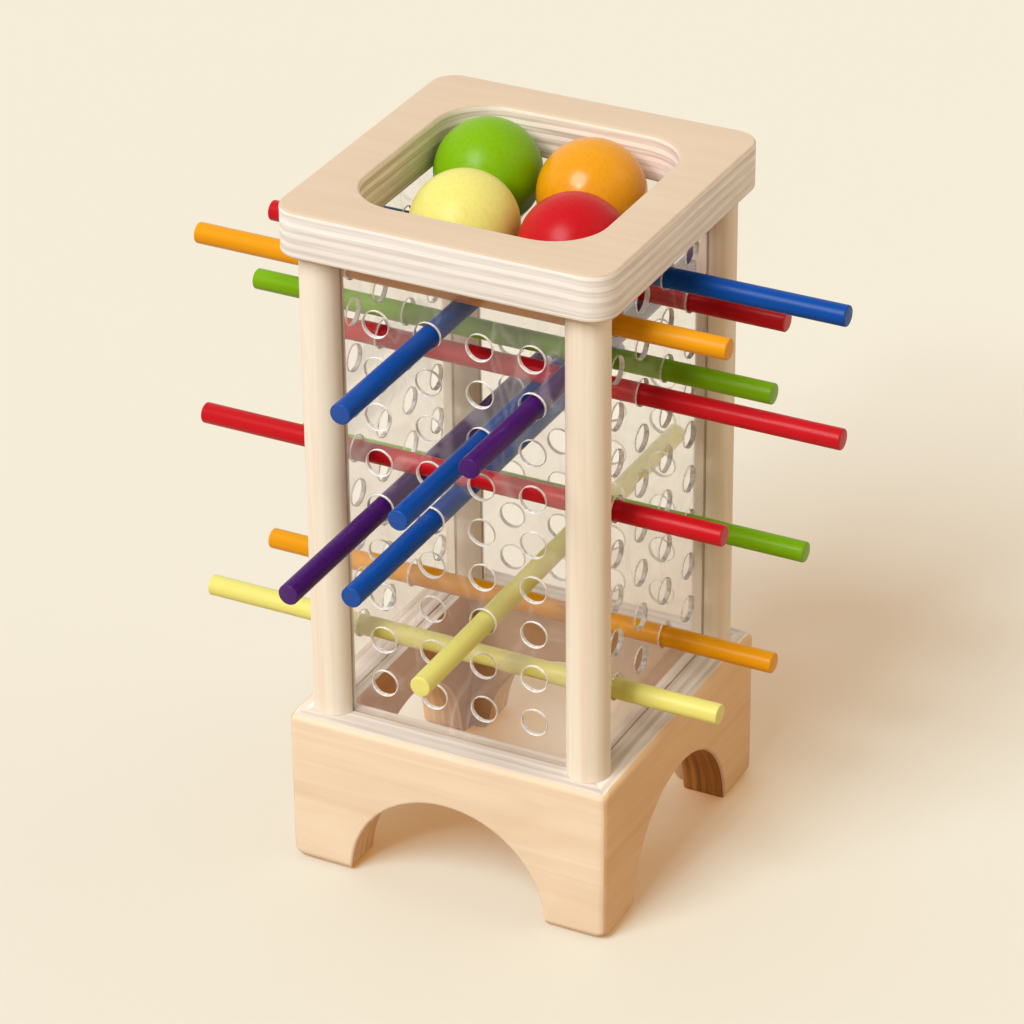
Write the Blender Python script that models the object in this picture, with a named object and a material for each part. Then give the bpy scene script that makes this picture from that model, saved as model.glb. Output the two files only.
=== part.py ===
"""Ball drop tower, a wooden toy: balls rest on rods that pass through drilled clear panels,
and fall through the tower when the rods are pulled out.

Metres, +Z up. The origin is the centre of the square footprint on the ground, and the front faces -Y.
"""

import math

import bmesh
import bpy

# Plywood base: four mitred walls with a half-round arch each
BASE_WIDTH = 0.130
BASE_HEIGHT = 0.063
WALL_THICKNESS = 0.018
BASE_CORNER_RADIUS = 0.004
BASE_EDGE_RADIUS = 0.003
ARCH_RADIUS = 0.040
ARCH_CHAMFER = 0.0012

# Round posts, on the same line as the panels
POST_DIAMETER = 0.016
POST_INSET = 0.013
POST_HEIGHT = 0.188
TENON_LENGTH = 0.010
TENON_WALL = 0.0006

# Clear panels, held in grooves of the posts and in slots of the base and the top frame
PANEL_THICKNESS = 0.002
GROOVE_DEPTH = 0.003
SLOT_DEPTH = 0.006

# Plywood top frame, as wide as the base
FRAME_THICKNESS = 0.018
FRAME_BAR = 0.018
FRAME_CORNER_RADIUS = 0.010
FRAME_EDGE_RADIUS = 0.002
OPENING_RADIUS = 0.020

# Hole grid: the side panels' rows lie half a step above those of the front and the back,
# so that crossing rods clear each other. The outer columns keep a share of a column step
# from the opening's edge, and the rows fill the height between two margins
HOLE_COLUMNS = 4
HOLE_ROWS = 9
EDGE_COLUMN_SHARE = 0.804
FIRST_ROW_HEIGHT = 0.0153
LAST_ROW_DEPTH = 0.0163

# Rods, which reach past the base on both sides
ROD_DIAMETER = 0.008
ROD_OVERHANG = 0.040
ROD_CHAMFER = 0.0005

# Balls, as shares of a ball's width: the room beside a pair of them in the opening,
# the gap in the back pair, and how far the yellow one sits to the right of the green one
BALL_ROOM_SHARE = 0.35
BALL_SPACING_SHARE = 0.0375
YELLOW_SHIFT_SHARE = 0.2625

# Clearances
JOINT_GAP = 0.0003
SLOT_CLEARANCE = 0.0002
TENON_CLEARANCE = 0.00025
HOLE_CLEARANCE = 0.001
OPENING_CLEARANCE = 0.0004

# Facets
CORNER_STEPS = 4
OPENING_STEPS = 7
EDGE_STEPS = 2
ARCH_SIDES = 48
POST_STEP = math.radians(15)
TENON_SIDES = 12
HOLE_SIDES = 12
ROD_SIDES = 16
BALL_SUBDIVISIONS = 3
SMOOTH_ANGLE = math.radians(35)

# Room that cutters keep past the faces they cut, and the least radius of a corner
OVERSHOOT = 0.001
LEAST_RADIUS = 0.0004

# What follows from the sizes above
BASE_HALF = BASE_WIDTH / 2
FRAME_HALF = BASE_HALF
POST_RADIUS = POST_DIAMETER / 2
POST_PLACE = BASE_HALF - POST_INSET
TENON_RADIUS = POST_RADIUS - GROOVE_DEPTH - TENON_WALL
FRAME_BOTTOM = BASE_HEIGHT + POST_HEIGHT
FRAME_TOP = FRAME_BOTTOM + FRAME_THICKNESS
OPENING_HALF = FRAME_HALF - FRAME_BAR
GROOVE_FLOOR = POST_PLACE - POST_RADIUS + GROOVE_DEPTH
PANEL_HALF = GROOVE_FLOOR - JOINT_GAP
PANEL_BOTTOM = BASE_HEIGHT - SLOT_DEPTH + JOINT_GAP
PANEL_TOP = FRAME_BOTTOM + SLOT_DEPTH - JOINT_GAP
SLOT_HALF_WIDTH = PANEL_THICKNESS / 2 + SLOT_CLEARANCE
COLUMN_PITCH = 2 * OPENING_HALF / (HOLE_COLUMNS - 1 + 2 * EDGE_COLUMN_SHARE)
ROW_PITCH = (POST_HEIGHT - FIRST_ROW_HEIGHT - LAST_ROW_DEPTH) / (HOLE_ROWS - 0.5)
ROD_RADIUS = ROD_DIAMETER / 2
ROD_LENGTH = BASE_WIDTH + 2 * ROD_OVERHANG
HOLE_RADIUS = ROD_RADIUS + HOLE_CLEARANCE
FRONT_ROW = BASE_HEIGHT + FIRST_ROW_HEIGHT
SIDE_ROW = FRONT_ROW + ROW_PITCH / 2
ROD_DROP = HOLE_RADIUS - ROD_RADIUS - JOINT_GAP
BALL_DIAMETER = 2 * OPENING_HALF / (2 + BALL_ROOM_SHARE)
BALL_RADIUS = BALL_DIAMETER / 2
BALL_ON_ROD = BALL_RADIUS + ROD_RADIUS + JOINT_GAP
BALL_ON_BALL = BALL_DIAMETER + JOINT_GAP
BALL_REACH = OPENING_HALF - BALL_RADIUS - OPENING_CLEARANCE

# The sides in the order in which quarter turns carry a piece from the front to them
SIDES = ("front", "right", "back", "left")

# Rods along X, from the left panel to the right one: the column and row of their holes
CROSS_RODS = {
    "red_rod_1": (3, 7),
    "red_rod_2": (1, 6),
    "red_rod_3": (0, 4),
    "orange_rod_1": (0, 8),
    "orange_rod_2": (2, 0),
    "yellow_rod_1": (0, 0),
    "green_rod_1": (2, 6),
    "green_rod_2": (3, 2),
    "blue_rod_1": (2, 8),
}

# Rods along Y, from the front panel to the back one
DEEP_RODS = {
    "blue_rod_2": (1, 8),
    "blue_rod_3": (2, 6),
    "blue_rod_4": (1, 4),
    "purple_rod_1": (0, 4),
    "purple_rod_2": (3, 7),
    "yellow_rod_2": (2, 2),
}

# How far each rod's middle is off centre, along the rod
ROD_SHIFTS = {
    "red_rod_1": -0.0147,
    "red_rod_2": 0.0247,
    "red_rod_3": -0.0104,
    "orange_rod_1": -0.0097,
    "orange_rod_2": -0.0081,
    "yellow_rod_1": -0.0109,
    "green_rod_1": -0.0104,
    "green_rod_2": -0.0052,
    "blue_rod_1": 0.0169,
    "blue_rod_2": -0.0106,
    "blue_rod_3": -0.0091,
    "blue_rod_4": -0.0069,
    "purple_rod_1": -0.0149,
    "purple_rod_2": 0.0044,
    "yellow_rod_2": 0.0041,
}

BIRCH = (0.75, 0.56, 0.38)
PALE_BIRCH = (0.80, 0.63, 0.46)
CLEAR = (0.95, 0.95, 0.94)
PAINT = {
    "red": (0.57, 0.012, 0.02),
    "orange": (0.80, 0.27, 0.01),
    "yellow": (0.83, 0.74, 0.16),
    "green": (0.13, 0.37, 0.01),
    "blue": (0.005, 0.06, 0.33),
    "purple": (0.05, 0.012, 0.16),
}


def clear_scene():
    for old in list(bpy.data.objects):
        bpy.data.objects.remove(old, do_unlink=True)


def material(name, colour, roughness, transmission=0.0):
    made = bpy.data.materials.new(name)
    made.use_nodes = True
    shader = made.node_tree.nodes["Principled BSDF"]
    shader.inputs["Base Color"].default_value = (*colour, 1.0)
    shader.inputs["Roughness"].default_value = roughness
    shader.inputs["Metallic"].default_value = 0.0
    shader.inputs["Transmission Weight"].default_value = transmission
    return made


def place(name, mesh, finish, location=(0, 0, 0), turn=0.0):
    """One named piece, turned about +Z. Pieces of the same shape share a mesh, so the finish is the object's."""
    if not mesh.materials:
        mesh.materials.append(None)
    piece = bpy.data.objects.new(name, mesh)
    bpy.context.collection.objects.link(piece)
    piece.material_slots[0].link = "OBJECT"
    piece.material_slots[0].material = finish
    piece.location = location
    piece.rotation_euler = (0, 0, turn)
    return piece


def circle(radius, sides):
    """Points of a regular polygon in its own plane, with a flat at the bottom."""
    step = 2 * math.pi / sides
    angles = [(i + 0.5) * step - math.pi / 2 for i in range(sides)]
    return [(radius * math.cos(a), radius * math.sin(a)) for a in angles]


def around(radius, sides):
    """A polygon whose flats, not its corners, lie at the radius: for what has to let a round piece through."""
    return circle(radius / math.cos(math.pi / sides), sides)


def rounded_square(half, radius, steps):
    points = []
    for corner, (x, y) in enumerate(((1, 1), (-1, 1), (-1, -1), (1, -1))):
        for i in range(steps + 1):
            angle = (corner + i / steps) * math.pi / 2
            along_x = x * (half - radius) + radius * math.cos(angle)
            along_y = y * (half - radius) + radius * math.sin(angle)
            points.append((along_x, along_y))
    return points


def rounded_edges(bottom, top, radius):
    """(inset, z) up a side whose lower and upper edges are rounded."""
    arc = [i / EDGE_STEPS * math.pi / 2 for i in range(EDGE_STEPS + 1)]
    lower = [(radius * (1 - math.sin(a)), bottom + radius * (1 - math.cos(a))) for a in arc]
    upper = [(inset, top + bottom - z) for inset, z in reversed(lower)]
    return lower + upper


def lofted(name, loops, ring=False):
    """A mesh through loops of equally many points: capped at both ends, or closed into a ring."""
    shape = bmesh.new()
    rows = [[shape.verts.new(point) for point in loop] for loop in loops]
    next_rows = rows[1:] + rows[:1] if ring else rows[1:]
    for row, after in zip(rows, next_rows):
        for i in range(len(row)):
            j = (i + 1) % len(row)
            shape.faces.new((row[i], row[j], after[j], after[i]))
    if not ring:
        shape.faces.new(rows[0])
        shape.faces.new(rows[-1])
    bmesh.ops.recalc_face_normals(shape, faces=shape.faces)
    return finished(name, shape)


def finished(name, shape):
    mesh = bpy.data.meshes.new(name)
    shape.to_mesh(mesh)
    shape.free()
    mesh.shade_smooth()
    mesh.set_sharp_from_angle(angle=SMOOTH_ANGLE)
    return mesh


def upright(name, outline, bottom, top):
    return lofted(name, [[(x, y, z) for x, y in outline] for z in (bottom, top)])


def joined(name, meshes):
    """Several closed meshes in one, for a cutter that takes away many shapes."""
    shape = bmesh.new()
    for mesh in meshes:
        shape.from_mesh(mesh)
    return finished(name, shape)


def combined(name, mesh, *steps):
    """The mesh after a chain of Boolean steps, each an operation and the mesh it takes."""
    base = bpy.data.objects.new(name, mesh)
    bpy.context.collection.objects.link(base)
    helpers = [base]
    for operation, other in steps:
        helper = bpy.data.objects.new(other.name, other)
        bpy.context.collection.objects.link(helper)
        helper.hide_render = True
        helper.display_type = "WIRE"
        helpers.append(helper)
        step = base.modifiers.new(other.name, "BOOLEAN")
        step.operation = operation
        step.solver = "EXACT"
        step.object = helper
    graph = bpy.context.evaluated_depsgraph_get()
    result = bpy.data.meshes.new_from_object(base.evaluated_get(graph))
    for helper in helpers:
        bpy.data.objects.remove(helper, do_unlink=True)
    result.name = name
    result.materials.clear()
    result.shade_smooth()
    result.set_sharp_from_angle(angle=SMOOTH_ANGLE)
    return result


def box(name, low, high):
    outline = [(low[0], low[1]), (high[0], low[1]), (high[0], high[1]), (low[0], high[1])]
    return upright(name, outline, low[2], high[2])


def panel_slot(bottom, top):
    """The cutter of the slot that holds the front panel's edge."""
    reach = PANEL_HALF + JOINT_GAP
    low = (-reach, -POST_PLACE - SLOT_HALF_WIDTH, bottom)
    high = (reach, -POST_PLACE + SLOT_HALF_WIDTH, top)
    return box("slot", low, high)


def turned(mesh, quarter):
    """The mesh carried from the front to another side."""
    sine = (0, 1, 0, -1)[quarter]
    cosine = (1, 0, -1, 0)[quarter]
    shape = bmesh.new()
    shape.from_mesh(mesh)
    for corner in shape.verts:
        x, y, z = corner.co
        corner.co = (cosine * x - sine * y, sine * x + cosine * y, z)
    return finished(mesh.name, shape)


def tenon_sockets(bottom, top):
    outline = around(TENON_RADIUS + TENON_CLEARANCE, TENON_SIDES)
    sockets = []
    for x in (-POST_PLACE, POST_PLACE):
        for y in (-POST_PLACE, POST_PLACE):
            sockets.append(upright("socket", [(x + a, y + b) for a, b in outline], bottom, top))
    return joined("sockets", sockets)


def arch_cutter():
    """A half-round arch through the front wall, flared at both faces to break its edges."""
    outer = -BASE_HALF
    inner = outer + WALL_THICKNESS
    stations = (
        (outer - OVERSHOOT, ARCH_RADIUS + ARCH_CHAMFER + OVERSHOOT),
        (outer + ARCH_CHAMFER, ARCH_RADIUS),
        (inner - ARCH_CHAMFER, ARCH_RADIUS),
        (inner + OVERSHOOT, ARCH_RADIUS + ARCH_CHAMFER + OVERSHOOT),
    )
    loops = [[(x, y, z) for x, z in circle(radius, ARCH_SIDES)] for y, radius in stations]
    return lofted("arch", loops)


def base_wall():
    """The front wall: a mitred slice of a rounded block, with its arch, panel slot and tenon sockets."""
    loops = []
    for inset, z in rounded_edges(0, BASE_HEIGHT, BASE_EDGE_RADIUS):
        radius = max(BASE_CORNER_RADIUS - inset, LEAST_RADIUS)
        outline = rounded_square(BASE_HALF - inset, radius, CORNER_STEPS)
        loops.append([(x, y, z) for x, y in outline])
    block = lofted("block", loops)
    outer = BASE_HALF + OVERSHOOT
    inner = BASE_HALF - WALL_THICKNESS
    mitre = JOINT_GAP / math.sqrt(2)
    slice_outline = [
        (-outer + mitre, -outer),
        (outer - mitre, -outer),
        (inner - mitre, -inner),
        (-inner + mitre, -inner),
    ]
    mitred_slice = upright("mitred_slice", slice_outline, -OVERSHOOT, BASE_HEIGHT + OVERSHOOT)
    tenon_end = BASE_HEIGHT - TENON_LENGTH - JOINT_GAP
    return combined(
        "base_wall",
        block,
        ("INTERSECT", mitred_slice),
        ("DIFFERENCE", arch_cutter()),
        ("DIFFERENCE", panel_slot(BASE_HEIGHT - SLOT_DEPTH, BASE_HEIGHT + OVERSHOOT)),
        ("DIFFERENCE", tenon_sockets(tenon_end, BASE_HEIGHT + OVERSHOOT)),
    )


def post():
    """The front left post: a round bar with a groove towards +X and one towards +Y, and a tenon at each end."""
    groove = math.asin(SLOT_HALF_WIDTH / POST_RADIUS)
    floor = POST_RADIUS - GROOVE_DEPTH

    def arc(start, end):
        count = max(1, round((end - start) / POST_STEP))
        angles = [start + (end - start) * i / count for i in range(count + 1)]
        return [(POST_RADIUS * math.cos(a), POST_RADIUS * math.sin(a)) for a in angles]

    outline = arc(groove, math.pi / 2 - groove)
    outline += [(SLOT_HALF_WIDTH, floor), (-SLOT_HALF_WIDTH, floor)]
    outline += arc(math.pi / 2 + groove, 2 * math.pi - groove)
    outline += [(floor, -SLOT_HALF_WIDTH), (floor, SLOT_HALF_WIDTH)]
    bar = upright("bar", outline, BASE_HEIGHT + JOINT_GAP, FRAME_BOTTOM - JOINT_GAP)
    core = circle(TENON_RADIUS, TENON_SIDES)
    tenons = upright("tenons", core, BASE_HEIGHT - TENON_LENGTH, FRAME_BOTTOM + TENON_LENGTH)
    return combined("post", bar, ("UNION", tenons))


def panel(first_row):
    """A panel in the XZ plane, drilled with the grid of holes."""
    edge = PANEL_THICKNESS / 2
    plate = box("plate", (-PANEL_HALF, -edge, PANEL_BOTTOM), (PANEL_HALF, edge, PANEL_TOP))
    rim = around(HOLE_RADIUS, HOLE_SIDES)
    drills = []
    for column in range(HOLE_COLUMNS):
        for row in range(HOLE_ROWS):
            across = column_place(column)
            height = first_row + row * ROW_PITCH
            ends = (-edge - OVERSHOOT, edge + OVERSHOOT)
            loops = [[(across + a, y, height + b) for a, b in rim] for y in ends]
            drills.append(lofted("drill", loops))
    return combined("panel", plate, ("DIFFERENCE", joined("drills", drills)))


def top_frame():
    """One plywood ring with rounded edges, slotted and drilled from below."""
    edges = rounded_edges(FRAME_BOTTOM, FRAME_TOP, FRAME_EDGE_RADIUS)
    loops = []
    for inset, z in edges:
        radius = max(FRAME_CORNER_RADIUS - inset, LEAST_RADIUS)
        outline = rounded_square(FRAME_HALF - inset, radius, OPENING_STEPS)
        loops.append([(x, y, z) for x, y in outline])
    for inset, z in reversed(edges):
        outline = rounded_square(OPENING_HALF + inset, OPENING_RADIUS + inset, OPENING_STEPS)
        loops.append([(x, y, z) for x, y in outline])
    ring = lofted("ring", loops, ring=True)
    slot = panel_slot(FRAME_BOTTOM - OVERSHOOT, FRAME_BOTTOM + SLOT_DEPTH)
    slots = joined("slots", [turned(slot, quarter) for quarter in range(len(SIDES))])
    tenon_end = FRAME_BOTTOM + TENON_LENGTH + JOINT_GAP
    return combined(
        "top_frame",
        ring,
        ("DIFFERENCE", slots),
        ("DIFFERENCE", tenon_sockets(FRAME_BOTTOM - OVERSHOOT, tenon_end)),
    )


def rod():
    """A rod along X with broken end edges."""
    half = ROD_LENGTH / 2
    stations = (
        (-half, ROD_RADIUS - ROD_CHAMFER),
        (-half + ROD_CHAMFER, ROD_RADIUS),
        (half - ROD_CHAMFER, ROD_RADIUS),
        (half, ROD_RADIUS - ROD_CHAMFER),
    )
    loops = [[(x, y, z) for y, z in circle(radius, ROD_SIDES)] for x, radius in stations]
    return lofted("rod", loops)


def ball():
    shape = bmesh.new()
    bmesh.ops.create_icosphere(shape, subdivisions=BALL_SUBDIVISIONS, radius=BALL_RADIUS)
    return finished("ball", shape)


def column_place(column):
    return (column - (HOLE_COLUMNS - 1) / 2) * COLUMN_PITCH


def rod_height(first_row, row):
    """The axis of a rod that lies on the bottom of its holes."""
    return first_row + row * ROW_PITCH - ROD_DROP


def cross_rod_axis(name):
    """(y, z) of a rod along X."""
    column, row = CROSS_RODS[name]
    return column_place(column), rod_height(SIDE_ROW, row)


def resting_at(axis, y):
    """The height of a ball whose centre lies at y and which rests on a rod along X."""
    rod_y, rod_z = axis
    return rod_z + math.sqrt(BALL_ON_ROD**2 - (y - rod_y) ** 2)


def leaning_ball(axis, x, behind):
    """The centre of a ball at x that rests on a rod along X and leans on the ball behind it."""
    rod_y, rod_z = axis
    reach = math.sqrt(BALL_ON_BALL**2 - (x - behind[0]) ** 2)
    across = behind[1] - rod_y
    rise = behind[2] - rod_z
    apart = math.hypot(across, rise)
    along = (apart**2 + BALL_ON_ROD**2 - reach**2) / (2 * apart)
    above = math.sqrt(BALL_ON_ROD**2 - along**2)
    y = rod_y + (along * across - above * rise) / apart
    z = rod_z + (along * rise + above * across) / apart
    return x, y, z


def ball_places():
    """The back pair rests on a rod and against the frame, and the front pair leans on the back pair."""
    back_rod = cross_rod_axis("blue_rod_1")
    front_rod = cross_rod_axis("orange_rod_1")
    back_height = resting_at(back_rod, BALL_REACH)
    green = (-BALL_REACH, BALL_REACH, back_height)
    orange = (green[0] + (1 + BALL_SPACING_SHARE) * BALL_DIAMETER, BALL_REACH, back_height)
    return {
        "green": green,
        "orange": orange,
        "yellow": leaning_ball(front_rod, green[0] + YELLOW_SHIFT_SHARE * BALL_DIAMETER, green),
        "red": leaning_ball(front_rod, BALL_REACH, orange),
    }


def build_base():
    wall = base_wall()
    for quarter, side in enumerate(SIDES):
        name = f"base_wall_{side}"
        place(name, wall, material(name, BIRCH, 0.6), turn=quarter * math.pi / 2)


def build_posts():
    shape = post()
    corners = (
        ("front_left", -1, -1),
        ("front_right", 1, -1),
        ("back_right", 1, 1),
        ("back_left", -1, 1),
    )
    for quarter, (corner, x, y) in enumerate(corners):
        name = f"post_{corner}"
        location = (x * POST_PLACE, y * POST_PLACE, 0)
        place(name, shape, material(name, PALE_BIRCH, 0.6), location, quarter * math.pi / 2)


def build_panels():
    shapes = (panel(FRONT_ROW), panel(SIDE_ROW))
    for quarter, side in enumerate(SIDES):
        name = f"panel_{side}"
        turn = quarter * math.pi / 2
        location = (POST_PLACE * math.sin(turn), -POST_PLACE * math.cos(turn), 0)
        place(name, shapes[quarter % 2], material(name, CLEAR, 0.05, 1.0), location, turn)


def build_rods():
    shape = rod()
    for name, (column, row) in CROSS_RODS.items():
        location = (ROD_SHIFTS[name], column_place(column), rod_height(SIDE_ROW, row))
        place(name, shape, material(name, PAINT[name.split("_")[0]], 0.35), location)
    for name, (column, row) in DEEP_RODS.items():
        location = (column_place(column), ROD_SHIFTS[name], rod_height(FRONT_ROW, row))
        place(name, shape, material(name, PAINT[name.split("_")[0]], 0.35), location, math.pi / 2)


def build_balls():
    shape = ball()
    for colour, centre in ball_places().items():
        name = f"{colour}_ball"
        place(name, shape, material(name, PAINT[colour], 0.3), centre)


clear_scene()
build_base()
build_posts()
build_panels()
place("top_frame", top_frame(), material("top_frame", PALE_BIRCH, 0.6))
build_rods()
build_balls()
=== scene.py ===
"""Looks of the ball drop tower: a plywood base and top frame, dowel posts, drilled clear panels,
and painted rods and balls. Metres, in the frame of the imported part.
"""

import math

import bmesh
import bpy
from mathutils import Matrix, Vector


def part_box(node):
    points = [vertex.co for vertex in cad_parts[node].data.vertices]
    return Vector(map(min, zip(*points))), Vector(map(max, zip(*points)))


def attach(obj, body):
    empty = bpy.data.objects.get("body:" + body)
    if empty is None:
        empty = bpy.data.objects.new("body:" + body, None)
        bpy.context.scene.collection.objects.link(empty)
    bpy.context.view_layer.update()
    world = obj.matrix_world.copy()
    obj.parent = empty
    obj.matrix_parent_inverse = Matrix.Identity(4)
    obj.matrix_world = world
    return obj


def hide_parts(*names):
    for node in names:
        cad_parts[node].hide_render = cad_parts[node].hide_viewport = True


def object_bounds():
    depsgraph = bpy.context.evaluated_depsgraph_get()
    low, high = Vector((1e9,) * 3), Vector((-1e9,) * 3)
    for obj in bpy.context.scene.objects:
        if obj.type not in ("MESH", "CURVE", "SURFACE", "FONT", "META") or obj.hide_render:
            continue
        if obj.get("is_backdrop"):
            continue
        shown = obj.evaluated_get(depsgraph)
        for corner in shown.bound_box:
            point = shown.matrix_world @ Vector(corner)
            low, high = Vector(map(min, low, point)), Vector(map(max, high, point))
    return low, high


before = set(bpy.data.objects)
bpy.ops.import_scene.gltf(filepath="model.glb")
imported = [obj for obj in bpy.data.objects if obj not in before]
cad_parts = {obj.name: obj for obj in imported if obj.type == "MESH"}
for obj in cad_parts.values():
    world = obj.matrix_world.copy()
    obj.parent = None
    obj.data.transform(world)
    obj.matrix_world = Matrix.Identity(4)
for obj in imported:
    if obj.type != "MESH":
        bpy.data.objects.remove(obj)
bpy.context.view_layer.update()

# Sizes read from the frame
wall_low, wall_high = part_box("base_wall_front")
ring_low, ring_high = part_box("top_frame")
pane_low, pane_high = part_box("panel_front")
BASE_HALF = -wall_low.y
BASE_HEIGHT = wall_high.z
WALL_THICKNESS = wall_high.y - wall_low.y
FRAME_HALF = ring_high.x
FRAME_BOTTOM = ring_low.z
FRAME_TOP = ring_high.z
PANEL_HALF = pane_high.x
PANEL_BOTTOM = pane_low.z
PANEL_TOP = pane_high.z
PANEL_THICKNESS = pane_high.y - pane_low.y
POST_PLACE = -(pane_low.y + pane_high.y) / 2

# Sizes that the frame's boxes don't tell. The flare is how much faster than the inset the radius of
# an upright corner grows over a rounded edge of the base, and plies wander by so many plies.
BASE_CORNER_RADIUS = 0.003
BASE_FOOT_RADIUS = 0.004
BASE_TOP_RADIUS = 0.0026
CORNER_FLARE = 1.6
ARCH_RADIUS = 0.040
ARCH_EDGE_RADIUS = 0.0012
FOOT_RADIUS = 0.003
FRAME_BAR = 0.018
FRAME_CORNER_RADIUS = 0.010
FRAME_EDGE_RADIUS = 0.0011
OPENING_RADIUS = 0.020
POST_RADIUS = 0.008
GROOVE_DEPTH = 0.003
GROOVE_HALF = 0.0012
SLOT_HALF = 0.00103
SLOT_DEPTH = 0.006
HOLE_COLUMNS = 4
HOLE_ROWS = 9
COLUMN_PITCH = 0.0204
ROW_PITCH = 0.0184
FIRST_ROW = 0.0783
HOLE_RADIUS = 0.005
HOLE_CHAMFER = 0.00028
ROD_END_RADIUS = 0.0006
JOINT_GAP = 0.0001
MITRE_GAP = 0.00003
PLIES = 9
PLY_WANDER = 0.9
SKIN_DEPTH = 0.0011

# Scales of noise in wood, paint and plastic, per metre along each axis
PLY_GRAIN = (5.0, 130.0, 130.0)
PLY_FIBRES = (30.0, 900.0, 900.0)
PLY_FIGURE = (9.0, 42.0, 42.0)
PLY_WAVES = (24.0, 24.0, 60.0)
END_GRAIN_THROUGH = 700.0
END_GRAIN_ALONG = 25.0
DOWEL_RINGS = (130.0, 130.0, 3.5)
DOWEL_FIBRES = (900.0, 900.0, 22.0)
DOWEL_FLECKS = (70.0, 70.0, 14.0)
ROD_GRAIN = (12.0, 420.0, 420.0)
BALL_GRAIN = (700.0, 700.0, 12.0)
PAINT_PATCHES = (30.0, 30.0, 30.0)
PAINT_PORES = (2400.0, 3600.0, 3600.0)
PANEL_RIPPLES = (22.0, 22.0, 22.0)
PANEL_REFLECTION_STREAKS = (26.0, 26.0, 15.0)
DRILL_MARKS = (900.0, 500.0, 900.0)
FLOOR_MOTTLE = (3.0, 3.0, 3.0)

# Steps and angles of round shapes, and how far cutters reach past what they cut
CORNER_STEPS = 10
EDGE_STEPS = 6
ARCH_STEPS = 96
POST_STEPS = 72
HOLE_SIDES = 48
ROD_SIDES = 64
BALL_SIDES = 96
BALL_STEPS = 64
BALL_FLAT = math.radians(2.5)
EDGE_ANGLES = [i / EDGE_STEPS * math.pi / 2 for i in range(EDGE_STEPS + 1)]
SMOOTH_ANGLE = math.radians(30)
OVERSHOOT = 0.001

# A panel's face is flat, and not part of a hole, where its normal has more than this along Y
FLAT_NORMAL = 0.9

SIDES = ("front", "right", "back", "left")


class Graph:
    """A node tree under construction: each method adds a node and returns its output socket."""

    def __init__(self, owner):
        owner.use_nodes = True
        self.tree = owner.node_tree

    def plug(self, socket, value):
        if isinstance(value, bpy.types.NodeSocket):
            self.tree.links.new(value, socket)
        else:
            socket.default_value = value

    def add(self, kind, inputs=(), output=0, **settings):
        made = self.tree.nodes.new(kind)
        for name, value in settings.items():
            setattr(made, name, value)
        for key, value in dict(inputs).items():
            self.plug(made.inputs[key], value)
        return made.outputs[output]

    def math(self, operation, a, b=0.0, c=0.0, **settings):
        return self.add("ShaderNodeMath", {0: a, 1: b, 2: c}, operation=operation, **settings)

    def vector(self, operation, a, b, output=0):
        return self.add("ShaderNodeVectorMath", {0: a, 1: b}, output, operation=operation)

    def axes(self, vector):
        parts = self.add("ShaderNodeSeparateXYZ", {0: vector}).node
        return parts.outputs[0], parts.outputs[1], parts.outputs[2]

    def shifted(self, vector, amount):
        """The vector with one amount added to all of its parts."""
        offset = self.add("ShaderNodeCombineXYZ", {0: amount, 1: amount, 2: amount})
        return self.vector("ADD", vector, offset)

    def noise(self, vector, scales, detail=3.0, roughness=0.5, distortion=0.0):
        inputs = {
            "Vector": self.vector("MULTIPLY", vector, scales),
            "Scale": 1.0,
            "Detail": detail,
            "Roughness": roughness,
            "Distortion": distortion,
        }
        return self.add("ShaderNodeTexNoise", inputs)

    def remap(self, value, low, high, to_low=0.0, to_high=1.0, smooth=True):
        inputs = {0: value, 1: low, 2: high, 3: to_low, 4: to_high}
        kind = "SMOOTHSTEP" if smooth else "LINEAR"
        return self.add("ShaderNodeMapRange", inputs, interpolation_type=kind)

    def mix(self, factor, a, b):
        return self.add("ShaderNodeMix", {0: factor, 6: a, 7: b}, 2, data_type="RGBA")

    def bump(self, height, strength, distance):
        return self.add("ShaderNodeBump", {"Height": height, "Strength": strength, "Distance": distance})


class Material(Graph):
    """A material's node tree, with the place on the object at hand."""

    def __init__(self, name):
        self.material = bpy.data.materials.new(name)
        super().__init__(self.material)
        self.shader = self.tree.nodes["Principled BSDF"]
        self.place = self.add("ShaderNodeTexCoord", output="Object")

    def finish(self, **sockets):
        for name, value in sockets.items():
            self.plug(self.shader.inputs[name.replace("_", " ")], value)
        return self.material


def colour(red, green, blue):
    return (red, green, blue, 1.0)


def ply_layers(g, across, start, thickness, spot):
    """How many plies deep a point is, where the plies waver slowly, and which ply that is."""
    waves = g.noise(spot, PLY_WAVES, detail=2.0)
    depth = g.remap(across, start, start + thickness, 0.0, PLIES, smooth=False)
    depth = g.math("MULTIPLY_ADD", waves, PLY_WANDER, g.math("SUBTRACT", depth, PLY_WANDER / 2))
    layer = g.math("MINIMUM", g.math("MAXIMUM", g.math("FLOOR", depth), 0.0), PLIES - 1)
    return depth, layer


def face_veneer(g, face, streaks, figure):
    """The face's tone, with its darker tone in the streaks and the broad figure of the grain."""
    veneer = g.mix(g.math("MULTIPLY", streaks, 0.55), face[0], face[1])
    return g.mix(g.math("MULTIPLY", g.remap(figure, 0.4, 0.75), 0.45), veneer, face[1])


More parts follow.
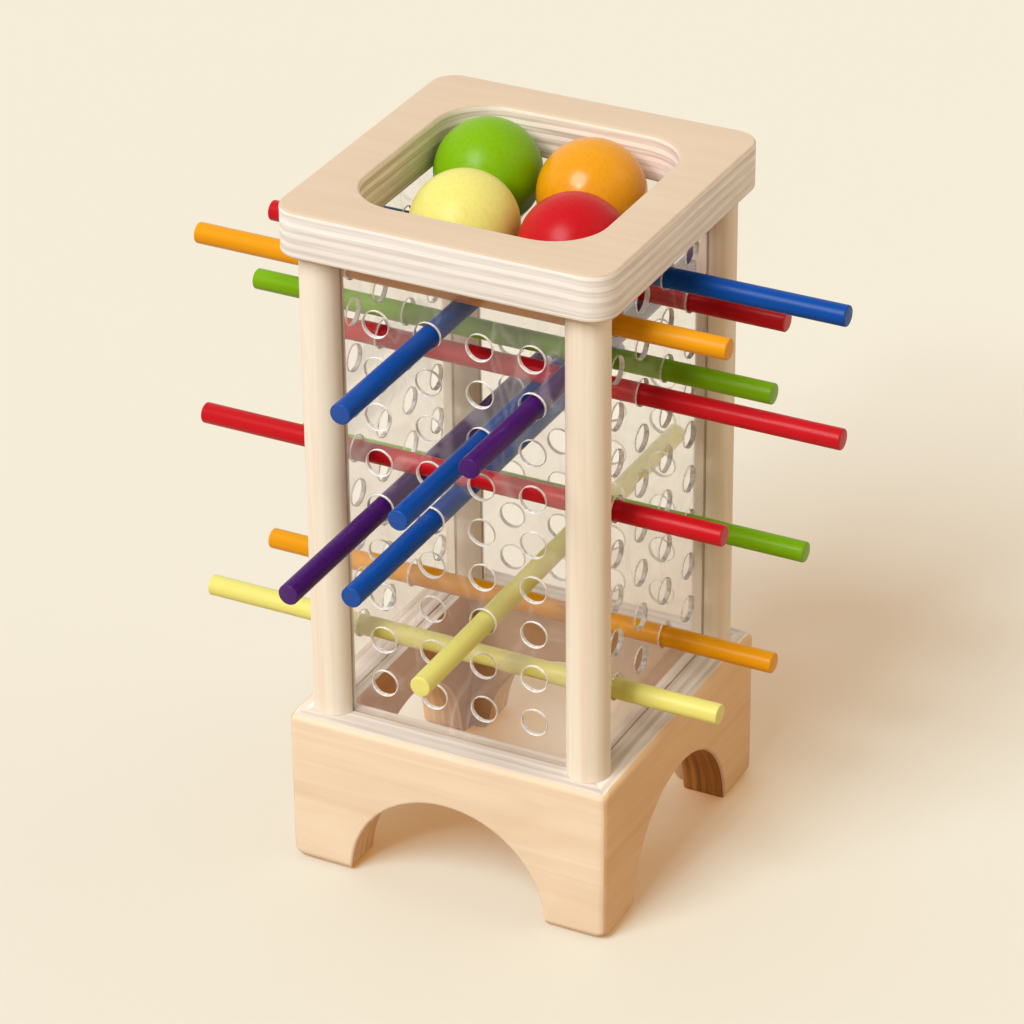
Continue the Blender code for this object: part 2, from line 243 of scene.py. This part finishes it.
def cut_shade(g, depth, layer, streaks, ends, seed):
    """How dark a cut edge is: every second ply shows its end grain, and glue lies between the plies."""
    crossed = g.remap(g.math("PINGPONG", g.math("SUBTRACT", depth, 0.5), 1.0), 0.3, 0.7)
    tone = g.add("ShaderNodeTexWhiteNoise", {"W": g.math("ADD", layer, seed)}, noise_dimensions="1D")
    along_shade = g.math("MULTIPLY_ADD", streaks, 0.15, g.math("MULTIPLY", tone, 0.2))
    end_shade = g.math("MULTIPLY_ADD", g.remap(ends, 0.3, 0.7), 0.5, 0.3)
    shade = g.add("ShaderNodeMix", {0: crossed, 2: along_shade, 3: end_shade})
    within = g.math("SUBTRACT", depth, layer)
    edge = g.math("MINIMUM", within, g.math("SUBTRACT", 1.0, within))
    return g.math("ADD", shade, g.remap(edge, 0.02, 0.14, 0.15, 0.0))


def plywood(name, axis, start, thickness, seed, face, up_face_shade, cut):
    """Birch plywood: face veneers with long wavy grain, and plies that show as stripes where it is cut.

    The face and the cut each have two tones, and the cut has two more for the arch or opening, which
    in the base's arches are painted shade. The face that points up the axis is tinted by the up-face shade
    tone, which is painted shade on the base walls' inner faces.
    """
    g = Material(name)
    spot = g.vector("ADD", g.place, (seed, seed * 0.37, 0.0))
    across = g.axes(g.place)[axis]
    depth, layer = ply_layers(g, across, start, thickness, spot)

    sheet = g.shifted(spot, layer)
    along = g.noise(sheet, PLY_GRAIN, detail=5.0, roughness=0.6, distortion=0.6)
    fibres = g.noise(sheet, PLY_FIBRES, detail=2.0)
    figure = g.noise(sheet, PLY_FIGURE, detail=2.0, distortion=1.2)
    end_scales = [END_GRAIN_THROUGH if axis == i else END_GRAIN_ALONG for i in range(3)]
    ends = g.noise(sheet, end_scales, detail=3.0)
    streaks = g.remap(along, 0.35, 0.7)

    normal = g.add("ShaderNodeTexCoord", output="Normal")
    facing = g.axes(normal)[axis]
    # Painted shade: the face that points up the axis, on the base walls their inner face, takes the darker
    # up-face shade tint
    tint = g.mix(g.remap(facing, 0.25, 0.5), colour(1.0, 1.0, 1.0), up_face_shade)
    veneer = g.vector("MULTIPLY", face_veneer(g, face, streaks, figure), tint)

    # Arches and openings are where the surface looks back at the middle of the part. There the cut
    # takes its own tones: painted shade in the base's arches, and warmer plies with more contrast in the
    # frame's opening.
    outwards = g.vector("DOT_PRODUCT", normal, g.place, 1)
    hollow = g.remap(outwards, -0.03, -0.01, 1.0, 0.0)
    bright = g.mix(hollow, cut[0], cut[2])
    dim = g.mix(hollow, cut[1], cut[3])
    skin = g.math("ABSOLUTE", g.math("SUBTRACT", across, start + SKIN_DEPTH))
    skin_line = g.remap(skin, 0.0001, 0.0005, 0.5, 0.0)
    shade = cut_shade(g, depth, layer, streaks, ends, seed)
    shade = g.math("ADD", shade, skin_line, use_clamp=True)
    edge_on = g.remap(g.math("ABSOLUTE", facing), 0.25, 0.5, 1.0, 0.0)
    grain = g.mix(edge_on, veneer, g.mix(shade, bright, dim))
    grain = g.mix(g.math("MULTIPLY", g.remap(fibres, 0.4, 0.8), 0.12), grain, face[1])
    height = g.math("ADD", g.math("MULTIPLY", along, 0.4), g.math("MULTIPLY", fibres, 0.6))
    return g.finish(
        Base_Color=grain,
        Roughness=g.remap(along, 0.3, 0.8, 0.5, 0.62),
        Specular_IOR_Level=0.2,
        Normal=g.bump(height, 0.12, 0.0004),
    )


def dowel_wood(name):
    """Pale birch with upright grain and a few darker flecks."""
    g = Material(name)
    seed = g.add("ShaderNodeObjectInfo", output="Random")
    spot = g.shifted(g.place, seed)
    rings = g.noise(spot, DOWEL_RINGS, detail=4.0, distortion=0.5)
    fibres = g.noise(spot, DOWEL_FIBRES, detail=2.0)
    flecks = g.noise(spot, DOWEL_FLECKS, detail=3.0)
    grain = g.mix(g.remap(rings, 0.35, 0.72), colour(0.80, 0.745, 0.64), colour(0.73, 0.615, 0.485))
    grain = g.mix(g.math("MULTIPLY", g.remap(fibres, 0.45, 0.8), 0.14), grain, colour(0.58, 0.42, 0.29))
    grain = g.mix(g.math("MULTIPLY", g.remap(flecks, 0.58, 0.8), 0.3), grain, colour(0.60, 0.42, 0.28))
    return g.finish(
        Base_Color=grain,
        Roughness=g.remap(rings, 0.3, 0.8, 0.48, 0.6),
        Specular_IOR_Level=0.2,
        Normal=g.bump(fibres, 0.1, 0.0004),
    )


def paint(name, tones, grain_scales, gloss, reach):
    """Satin paint over wood: faint grain, fine pores in the gloss, and slight wear at the ends along X."""
    g = Material(name)
    base, shade = tones
    smoothest, roughest, shine = gloss
    seed = g.add("ShaderNodeObjectInfo", output="Random")
    spot = g.shifted(g.place, seed)
    grain = g.noise(spot, grain_scales, detail=2.0, distortion=0.1)
    patches = g.noise(spot, PAINT_PATCHES, detail=2.0)
    pores = g.noise(spot, PAINT_PORES, detail=1.0)
    tone = g.mix(g.math("MULTIPLY", g.remap(grain, 0.42, 0.7), 0.25), base, shade)
    tone = g.mix(g.math("MULTIPLY", g.remap(patches, 0.4, 0.8), 0.12), tone, shade)
    outside = g.remap(g.math("ABSOLUTE", g.axes(g.place)[0]), reach - ROD_END_RADIUS, reach)
    worn = g.math("MULTIPLY", outside, g.remap(patches, 0.3, 0.7, 0.0, 0.03))
    tone = g.mix(worn, tone, colour(0.9, 0.85, 0.8))
    height = g.math("ADD", g.math("MULTIPLY", grain, 0.5), pores)
    return g.finish(
        Base_Color=tone,
        Roughness=g.remap(pores, 0.3, 0.7, smoothest, roughest),
        Specular_IOR_Level=shine,
        Normal=g.bump(height, 0.05, 0.0002),
    )


def clear_acrylic(name):
    """Clear sheet that lets lamp light through, with ripples in its polish and faint milky streaks that are
    painted reflections.
    """
    g = Material(name)
    ripple = g.noise(g.place, PANEL_RIPPLES, detail=1.0)
    curl = g.noise(g.place, PANEL_REFLECTION_STREAKS, detail=2.0, distortion=1.5)
    # Painted reflection: wavy milky streaks where the sheet lets less light through
    reflection_streak = g.remap(g.math("ABSOLUTE", g.math("SUBTRACT", curl, 0.5)), 0.0, 0.035, 1.0, 0.0)
    g.finish(
        Base_Color=colour(0.975, 0.96, 0.955),
        Roughness=0.02,
        IOR=1.49,
        Specular_IOR_Level=0.15,
        Transmission_Weight=g.remap(reflection_streak, 0.0, 1.0, 0.975, 0.92),
        Normal=g.bump(ripple, 0.02, 0.002),
    )
    passing = g.add("ShaderNodeBsdfTransparent", {0: colour(0.93, 0.915, 0.90)})
    path = g.add("ShaderNodeLightPath").node
    lighting = g.math("MAXIMUM", path.outputs["Is Shadow Ray"], path.outputs["Is Diffuse Ray"])
    surface = g.add("ShaderNodeMixShader", {0: lighting, 1: g.shader.outputs[0], 2: passing})
    g.plug(g.tree.nodes["Material Output"].inputs["Surface"], surface)
    return g.material


def cut_acrylic(name, dull, bright, clear):
    """The frosted wall of a drilled hole, with marks of the drill that are brighter and less clear."""
    g = Material(name)
    marks = g.noise(g.place, DRILL_MARKS, detail=3.0, roughness=0.65)
    chips = g.remap(marks, 0.35, 0.65)
    return g.finish(
        Base_Color=g.mix(chips, dull, bright),
        Roughness=g.remap(marks, 0.3, 0.8, 0.35, 0.6),
        IOR=1.49,
        Transmission_Weight=g.remap(chips, 0.0, 1.0, clear, clear * 0.4),
        Normal=g.bump(marks, 0.3, 0.0003),
    )


def seen_by(g):
    """1 for rays that show the surroundings: from the camera, off shiny surfaces and through clear ones."""
    path = g.add("ShaderNodeLightPath").node
    seen = g.math("MAXIMUM", path.outputs["Is Camera Ray"], path.outputs["Is Transmission Ray"])
    return g.math("MAXIMUM", seen, path.outputs["Is Glossy Ray"])


def floor_paper(name):
    """Paper that is pale with warm shadows where it is seen, and dimmer where it lights the object."""
    g = Material(name)
    mottle = g.noise(g.place, FLOOR_MOTTLE, detail=2.0)
    pale = g.mix(mottle, colour(0.454, 0.567, 0.551), colour(0.460, 0.575, 0.558))
    seen = seen_by(g)
    return g.finish(
        Base_Color=g.mix(seen, colour(0.48, 0.36, 0.24), pale),
        Roughness=0.9,
        Specular_IOR_Level=0.0,
        # Painted light: an even warm glow where the floor is seen, which lifts the shadows on it and makes
        # them warm
        Emission_Color=colour(0.305, 0.10, 0.0),
        Emission_Strength=seen,
    )


def rounded_square(half, radius):
    points = []
    for corner, (x, y) in enumerate(((1, 1), (-1, 1), (-1, -1), (1, -1))):
        for i in range(CORNER_STEPS + 1):
            angle = (corner + i / CORNER_STEPS) * math.pi / 2
            along_x = x * (half - radius) + radius * math.cos(angle)
            along_y = y * (half - radius) + radius * math.sin(angle)
            points.append((along_x, along_y))
    return points


def rounding(radius):
    """(inset, rise) over a rounded edge, from the flat that it starts at to the side."""
    return [(radius * (1 - math.sin(a)), radius * (1 - math.cos(a))) for a in EDGE_ANGLES]


def rounded_edges(bottom, top, lower_radius, upper_radius):
    """(inset, z) up a side whose lower and upper edges are rounded."""
    lower = [(inset, bottom + rise) for inset, rise in rounding(lower_radius)]
    upper = [(inset, top - rise) for inset, rise in rounding(upper_radius)]
    return lower + upper[::-1]


def circle(radius, sides):
    angles = [2 * math.pi * i / sides for i in range(sides)]
    return [(radius * math.cos(a), radius * math.sin(a)) for a in angles]


def level(outline, z):
    return [(x, y, z) for x, y in outline]


def mesh_from(name, shape):
    mesh = bpy.data.meshes.new(name)
    bmesh.ops.recalc_face_normals(shape, faces=shape.faces)
    shape.to_mesh(mesh)
    shape.free()
    return mesh


def lofted(name, loops, ring=False):
    """A mesh through loops of equally many points: capped at both ends, or closed into a ring."""
    shape = bmesh.new()
    rows = [[shape.verts.new(point) for point in loop] for loop in loops]
    next_rows = rows[1:] + rows[:1] if ring else rows[1:]
    for row, after in zip(rows, next_rows):
        for i in range(len(row)):
            j = (i + 1) % len(row)
            shape.faces.new((row[i], row[j], after[j], after[i]))
    if not ring:
        shape.faces.new(rows[0])
        shape.faces.new(rows[-1])
    return mesh_from(name, shape)


def upright(name, outline, bottom, top):
    return lofted(name, [level(outline, bottom), level(outline, top)])


def box(name, low, high):
    outline = [(low[0], low[1]), (high[0], low[1]), (high[0], high[1]), (low[0], high[1])]
    return upright(name, outline, low[2], high[2])


def joined(name, meshes):
    shape = bmesh.new()
    for mesh in meshes:
        shape.from_mesh(mesh)
    return mesh_from(name, shape)


def turned(mesh, quarter):
    copy = mesh.copy()
    copy.transform(Matrix.Rotation(quarter * math.pi / 2, 4, "Z"))
    return copy


def smooth(mesh):
    mesh.shade_smooth()
    mesh.set_sharp_from_angle(angle=SMOOTH_ANGLE)
    return mesh


def combined(name, mesh, *steps):
    """The mesh after a chain of Boolean steps, with normals that keep its flat faces flat."""
    base = bpy.data.objects.new(name, mesh)
    bpy.context.collection.objects.link(base)
    helpers = [base]
    for operation, other in steps:
        helper = bpy.data.objects.new(other.name, other)
        bpy.context.collection.objects.link(helper)
        helpers.append(helper)
        step = base.modifiers.new(other.name, "BOOLEAN")
        step.operation = operation
        step.solver = "EXACT"
        step.object = helper
    graph = bpy.context.evaluated_depsgraph_get()
    result = bpy.data.meshes.new_from_object(base.evaluated_get(graph))
    for helper in helpers:
        bpy.data.objects.remove(helper, do_unlink=True)
    result.name = name
    result.materials.clear()
    return smooth(result)


def arch_outline(grow):
    """A half-round arch standing on the ground, with rounded feet."""
    radius = ARCH_RADIUS + grow
    reach = radius + FOOT_RADIUS
    left = [(-radius - inset, rise) for inset, rise in rounding(FOOT_RADIUS)]
    start = math.asin(FOOT_RADIUS / radius)
    angles = [start + (math.pi - 2 * start) * i / ARCH_STEPS for i in range(1, ARCH_STEPS)]
    arch = [(-radius * math.cos(a), radius * math.sin(a)) for a in angles]
    right = [(-x, z) for x, z in reversed(left)]
    below = [(reach, -OVERSHOOT), (-reach, -OVERSHOOT)]
    return left + arch + right + below


def arch_cutter():
    """The arch through the front wall, flared at both faces to round its edges."""
    outer = -BASE_HALF
    inner = outer + WALL_THICKNESS
    flare = rounding(ARCH_EDGE_RADIUS)
    stations = [(outer - OVERSHOOT, ARCH_EDGE_RADIUS)]
    stations += [(outer + inset, grow) for inset, grow in reversed(flare)]
    stations += [(inner - inset, grow) for inset, grow in flare]
    stations.append((inner + OVERSHOOT, ARCH_EDGE_RADIUS))
    loops = [[(x, y, z) for x, z in arch_outline(grow)] for y, grow in stations]
    return lofted("arch", loops)


def panel_slot(bottom, top):
    low = (-PANEL_HALF, -POST_PLACE - SLOT_HALF, bottom)
    high = (PANEL_HALF, -POST_PLACE + SLOT_HALF, top)
    return box("slot", low, high)


def base_wall():
    """The front wall: a mitred slice of a rounded block, with its arch and panel slot."""
    loops = []
    for inset, z in rounded_edges(0, BASE_HEIGHT, BASE_FOOT_RADIUS, BASE_TOP_RADIUS):
        radius = BASE_CORNER_RADIUS + inset * CORNER_FLARE
        loops.append(level(rounded_square(BASE_HALF - inset, radius), z))
    block = lofted("block", loops)
    outer = BASE_HALF + OVERSHOOT
    inner = BASE_HALF - WALL_THICKNESS
    slice_outline = [
        (-outer + MITRE_GAP, -outer),
        (outer - MITRE_GAP, -outer),
        (inner - MITRE_GAP, -inner),
        (-inner + MITRE_GAP, -inner),
    ]
    mitred_slice = upright("mitred_slice", slice_outline, -OVERSHOOT, BASE_HEIGHT + OVERSHOOT)
    return combined(
        "base_wall",
        block,
        ("INTERSECT", mitred_slice),
        ("DIFFERENCE", arch_cutter()),
        ("DIFFERENCE", panel_slot(BASE_HEIGHT - SLOT_DEPTH, BASE_HEIGHT + OVERSHOOT)),
    )


def post():
    """The front left post: a round bar with a groove towards +X and one towards +Y."""
    groove = math.asin(GROOVE_HALF / POST_RADIUS)
    floor = POST_RADIUS - GROOVE_DEPTH

    def arc(start, end):
        count = round((end - start) / (2 * math.pi) * POST_STEPS)
        angles = [start + (end - start) * i / count for i in range(count + 1)]
        return [(POST_RADIUS * math.cos(a), POST_RADIUS * math.sin(a)) for a in angles]

    outline = arc(groove, math.pi / 2 - groove)
    outline += [(GROOVE_HALF, floor), (-GROOVE_HALF, floor)]
    outline += arc(math.pi / 2 + groove, 2 * math.pi - groove)
    outline += [(floor, -GROOVE_HALF), (floor, GROOVE_HALF)]
    return smooth(upright("post", outline, BASE_HEIGHT + JOINT_GAP, FRAME_BOTTOM - JOINT_GAP))


def panel(first_row):
    """A panel in the XZ plane, drilled with a grid of holes that have broken edges."""
    edge = PANEL_THICKNESS / 2
    plate = box("plate", (-PANEL_HALF, -edge, PANEL_BOTTOM), (PANEL_HALF, edge, PANEL_TOP))
    stations = (
        (-edge - OVERSHOOT, HOLE_RADIUS + HOLE_CHAMFER + OVERSHOOT),
        (-edge + HOLE_CHAMFER, HOLE_RADIUS),
        (edge - HOLE_CHAMFER, HOLE_RADIUS),
        (edge + OVERSHOOT, HOLE_RADIUS + HOLE_CHAMFER + OVERSHOOT),
    )
    drills = []
    for column in range(HOLE_COLUMNS):
        across = (column - (HOLE_COLUMNS - 1) / 2) * COLUMN_PITCH
        for row in range(HOLE_ROWS):
            height = first_row + row * ROW_PITCH
            loops = []
            for y, radius in stations:
                loops.append([(across + x, y, height + z) for x, z in circle(radius, HOLE_SIDES)])
            drills.append(lofted("drill", loops))
    made = combined("panel", plate, ("DIFFERENCE", joined("drills", drills)))
    for face in made.polygons:
        beside = abs(face.center.x) < PANEL_HALF - OVERSHOOT
        between = PANEL_BOTTOM < face.center.z < PANEL_TOP
        if beside and between and abs(face.normal.y) < FLAT_NORMAL:
            face.material_index = 1
    return made


def top_frame():
    """One plywood ring with rounded edges, slotted from below."""
    opening = FRAME_HALF - FRAME_BAR
    edges = rounded_edges(FRAME_BOTTOM, FRAME_TOP, FRAME_EDGE_RADIUS, FRAME_EDGE_RADIUS)
    loops = []
    for inset, z in edges:
        loops.append(level(rounded_square(FRAME_HALF - inset, FRAME_CORNER_RADIUS - inset), z))
    for inset, z in reversed(edges):
        loops.append(level(rounded_square(opening + inset, OPENING_RADIUS + inset), z))
    slot = panel_slot(FRAME_BOTTOM - OVERSHOOT, FRAME_BOTTOM + SLOT_DEPTH)
    slots = joined("slots", [turned(slot, quarter) for quarter in range(len(SIDES))])
    return combined("top_frame", lofted("ring", loops, ring=True), ("DIFFERENCE", slots))


def rod(length, radius):
    """A rod along X with rounded end edges."""
    half = length / 2
    loops = []
    for inset, x in rounded_edges(-half, half, ROD_END_RADIUS, ROD_END_RADIUS):
        loops.append([(x, y, z) for y, z in circle(radius - inset, ROD_SIDES)])
    return smooth(lofted("rod", loops))


def ball(radius):
    """A turned ball with a small flat at each end of its axis."""
    angles = [BALL_FLAT + (math.pi - 2 * BALL_FLAT) * i / BALL_STEPS for i in range(BALL_STEPS + 1)]
    loops = []
    for angle in angles:
        loops.append(level(circle(radius * math.sin(angle), BALL_SIDES), radius * math.cos(angle)))
    return smooth(lofted("ball", loops))


def piece(node, mesh, material, body, location=(0, 0, 0), turn=0.0):
    """A shown piece that stands for one CAD node and rides on its body."""
    made = bpy.data.objects.new(node + ".look", mesh)
    bpy.context.collection.objects.link(made)
    if not mesh.materials:
        mesh.materials.append(None)
    made.material_slots[0].link = "OBJECT"
    made.material_slots[0].material = material
    made.location = location
    made.rotation_euler = (0, 0, turn)
    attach(made, body)
    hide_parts(node)


def middle(node):
    low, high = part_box(node)
    return (low + high) / 2


# Plywood tones: the veneer and its streaks, the cut edge and its darker plies, and the cut in an arch
# or opening, where the arch tones are painted shade, then the tint of the veneer inside the base, which
# is painted shade, and the plain tint on top of the frame. The side walls' copies carry painted shade
# in their veneer and painted light in their cut edge.
FRONT_FACE = (colour(0.775, 0.64, 0.48), colour(0.65, 0.485, 0.325))
FRONT_CUT = (colour(0.77, 0.70, 0.64), colour(0.52, 0.445, 0.38))
# Painted shade: the tones of the cut in the base's arches; the right wall's arch takes a darker copy
FRONT_ARCH_SHADE = (colour(0.90, 0.58, 0.32), colour(0.62, 0.38, 0.20))
# The side walls' copies: a darker veneer as painted shade, a lighter cut edge as painted light, and a
# darker arch as painted shade
SIDE_FACE_SHADE = (colour(0.75, 0.50, 0.275), colour(0.64, 0.395, 0.20))
SIDE_CUT_LIT = (colour(0.90, 0.84, 0.77), colour(0.54, 0.44, 0.35))
SIDE_ARCH_SHADE = (colour(0.54, 0.22, 0.05), colour(0.20, 0.067, 0.012))
RING_FACE = (colour(0.62, 0.495, 0.365), colour(0.565, 0.427, 0.307))
RING_CUT = (colour(0.86, 0.84, 0.815), colour(0.56, 0.515, 0.46))
RING_OPENING = (colour(0.94, 0.83, 0.76), colour(0.42, 0.325, 0.26))
# Painted shade: this tint darkens the base walls' inner faces, inside the base
WALL_INSIDE_SHADE = colour(0.85, 0.67, 0.50)
RING_TOP = colour(1.0, 1.0, 1.0)
WALL_LOOKS = {
    "front": (FRONT_FACE, FRONT_CUT, FRONT_ARCH_SHADE),
    "right": (SIDE_FACE_SHADE, SIDE_CUT_LIT, SIDE_ARCH_SHADE),
    "back": (FRONT_FACE, FRONT_CUT, FRONT_ARCH_SHADE),
    "left": (SIDE_FACE_SHADE, SIDE_CUT_LIT, FRONT_ARCH_SHADE),
}

# Where on its sheet each piece of plywood is cut
WALL_SEED = 1.7
RING_SEED = 5.3

wall_mesh = base_wall()
for quarter, side in enumerate(SIDES):
    node = f"base_wall_{side}"
    face, cut, arch = WALL_LOOKS[side]
    seed = quarter * WALL_SEED
    finish = plywood(node, 1, -BASE_HALF, WALL_THICKNESS, seed, face, WALL_INSIDE_SHADE, cut + arch)
    piece(node, wall_mesh, finish, "tower", turn=quarter * math.pi / 2)

ring_thickness = FRAME_TOP - FRAME_BOTTOM
ring_cut = RING_CUT + RING_OPENING
finish = plywood("top_frame", 2, FRAME_BOTTOM, ring_thickness, RING_SEED, RING_FACE, RING_TOP, ring_cut)
piece("top_frame", top_frame(), finish, "tower")

post_mesh = post()
post_finish = dowel_wood("birch_dowel")
corners = (("front_left", -1, -1), ("front_right", 1, -1), ("back_right", 1, 1), ("back_left", -1, 1))
for quarter, (corner, x, y) in enumerate(corners):
    place = (x * POST_PLACE, y * POST_PLACE, 0)
    piece(f"post_{corner}", post_mesh, post_finish, "tower", place, quarter * math.pi / 2)

acrylic = clear_acrylic("clear_acrylic")
# Painted light and shade: the front panel's hole walls take a brighter, less clear copy as painted light,
# the other panels' a duller, clearer copy as painted shade
painted_light_cut = cut_acrylic("white_cut_acrylic", colour(0.84, 0.82, 0.80), colour(0.98, 0.97, 0.96), 0.4)
painted_shade_cut = cut_acrylic("dull_cut_acrylic", colour(0.70, 0.67, 0.64), colour(0.92, 0.90, 0.88), 0.75)
panel_meshes = (panel(FIRST_ROW), panel(FIRST_ROW + ROW_PITCH / 2))
for quarter, side in enumerate(SIDES):
    turn = quarter * math.pi / 2
    place = (POST_PLACE * math.sin(turn), -POST_PLACE * math.cos(turn), 0)
    mesh = panel_meshes[quarter % 2].copy()
    mesh.materials.append(acrylic)
    mesh.materials.append(painted_light_cut if side == "front" else painted_shade_cut)
    piece(f"panel_{side}", mesh, acrylic, "tower", place, turn)

PAINTS = {
    "red": (colour(0.48, 0.005, 0.011), colour(0.32, 0.003, 0.006)),
    "orange": (colour(0.69, 0.29, 0.003), colour(0.56, 0.19, 0.002)),
    "yellow": (colour(0.69, 0.645, 0.18), colour(0.58, 0.515, 0.105)),
    "green": (colour(0.18, 0.39, 0.002), colour(0.115, 0.275, 0.001)),
    "blue": (colour(0.001, 0.060, 0.32), colour(0.001, 0.030, 0.18)),
    "purple": (colour(0.052, 0.005, 0.125), colour(0.030, 0.002, 0.07)),
}

# Gloss of the paint: its roughness where it is smoothest and roughest, and its specular level
ROD_GLOSS = (0.24, 0.36, 0.13)
BALL_GLOSS = (0.26, 0.38, 0.15)
FRESH_GLOSS = (0.18, 0.26, 0.3)

first_low, first_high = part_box("orange_rod_1")
ROD_LENGTH = first_high.x - first_low.x
ball_low, ball_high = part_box("red_ball")
BALL_RADIUS = max(ball_high - ball_low) / 2
rod_paints = {}
ball_paints = {}
for name, tones in PAINTS.items():
    rod_paints[name] = paint(f"{name}_rod_paint", tones, ROD_GRAIN, ROD_GLOSS, ROD_LENGTH / 2)
    ball_gloss = FRESH_GLOSS if name == "orange" else BALL_GLOSS
    ball_paints[name] = paint(f"{name}_ball_paint", tones, BALL_GRAIN, ball_gloss, BALL_RADIUS)

rods = sorted(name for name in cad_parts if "_rod_" in name)
rod_mesh = rod(ROD_LENGTH, (first_high.z - first_low.z) / 2)
for name in rods:
    low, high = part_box(name)
    turn = 0.0 if high.x - low.x > high.y - low.y else math.pi / 2
    tint = name.split("_")[0]
    piece(name, rod_mesh, rod_paints[tint], name, middle(name), turn)

balls = sorted(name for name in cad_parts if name.endswith("_ball"))
ball_mesh = ball(BALL_RADIUS)
for name in balls:
    tint = name.split("_")[0]
    piece(name, ball_mesh, ball_paints[tint], name, middle(name))


FLOOR_HALF = 6.0


def add_floor():
    shape = bmesh.new()
    bmesh.ops.create_grid(shape, x_segments=8, y_segments=8, size=FLOOR_HALF)
    floor = bpy.data.objects.new("floor", mesh_from("floor", shape))
    bpy.context.collection.objects.link(floor)
    floor.data.materials.append(floor_paper("floor_paper"))
    floor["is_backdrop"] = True


# Lamps: the direction each shines from, how many degrees wide it looks, and its tint
LAMPS = {
    "key": ((-0.184, -0.643, 0.743), 32, (0.92, 0.92, 0.92)),
    "spot": ((-0.088, -0.81, 0.583), 6, (0.14, 0.14, 0.13)),
    "window": ((0.736, 0.275, 0.606), 25, (0.035, 0.03, 0.025)),
}

# The strength at which a white lamp shows a sheet that faces it in the sheet's own colour
LAMP_STRENGTH = math.pi


def add_lamp(name, towards, width, tint):
    """A soft lamp so far away that the floor is evenly lit."""
    lamp = bpy.data.lights.new(name, "SUN")
    lamp.angle = math.radians(width)
    lamp.energy = LAMP_STRENGTH
    lamp.color = tint
    made = bpy.data.objects.new(name, lamp)
    bpy.context.collection.objects.link(made)
    made.rotation_euler = Vector(towards).to_track_quat("Z", "Y").to_euler()


# The world's light from each side, as its axis, sign and tint, and the tone past the floor's edge
LOBES = (
    (0, -1, colour(0.74, 0.73, 0.71)),
    (0, 1, colour(0.68, 0.51, 0.33)),
    (1, -1, colour(0.16, 0.13, 0.095)),
    (1, 1, colour(0.95, 0.93, 0.88)),
    (2, 1, colour(0.06, 0.06, 0.06)),
)
BACKDROP = colour(0.93, 0.845, 0.69)


def add_world():
    """Soft light from several sides, and a plain backdrop where the world is seen."""
    world = bpy.data.worlds.new("studio")
    bpy.context.scene.world = world
    g = Graph(world)
    towards = g.axes(g.add("ShaderNodeTexCoord", output="Generated"))
    light = g.add("ShaderNodeBackground", {1: 0.0})
    for axis, sign, tint in LOBES:
        facing = g.math("MAXIMUM", g.math("MULTIPLY", towards[axis], sign), 0.0)
        lobe = g.add("ShaderNodeBackground", {0: tint, 1: facing})
        light = g.add("ShaderNodeAddShader", {0: light, 1: lobe})
    shown = g.add("ShaderNodeBackground", {0: BACKDROP})
    surface = g.add("ShaderNodeMixShader", {0: seen_by(g), 1: light, 2: shown})
    g.plug(g.tree.nodes["World Output"].inputs["Surface"], surface)


# The camera's place in polar form about the point it looks at, and the picture's tilt
CAMERA_AZIMUTH = math.radians(27.221)
CAMERA_ELEVATION = math.radians(29.399)
CAMERA_ROLL = math.radians(-0.569)
CAMERA_DISTANCE = 1.66673
CAMERA_TARGET = Vector((-0.01901, 0.02788, 0.11243))
CAMERA_LENS = 156.16
CAMERA_SENSOR = 36.0


def add_camera():
    data = bpy.data.cameras.new("camera")
    data.lens = CAMERA_LENS
    data.sensor_width = CAMERA_SENSOR
    made = bpy.data.objects.new("camera", data)
    bpy.context.collection.objects.link(made)
    flat = math.cos(CAMERA_ELEVATION)
    back = Vector(
        (
            math.sin(CAMERA_AZIMUTH) * flat,
            -math.cos(CAMERA_AZIMUTH) * flat,
            math.sin(CAMERA_ELEVATION),
        )
    )
    right = Vector((math.cos(CAMERA_AZIMUTH), math.sin(CAMERA_AZIMUTH), 0.0))
    turn = Matrix((right, back.cross(right), back)).transposed().to_4x4()
    roll = Matrix.Rotation(CAMERA_ROLL, 4, "Z")
    made.matrix_world = Matrix.Translation(CAMERA_TARGET + back * CAMERA_DISTANCE) @ turn @ roll
    bpy.context.scene.camera = made


add_floor()
for name, (towards, width, tint) in LAMPS.items():
    add_lamp(name, towards, width, tint)
add_world()
add_camera()
bpy.context.scene.view_settings.view_transform = "Standard"

low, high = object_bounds()
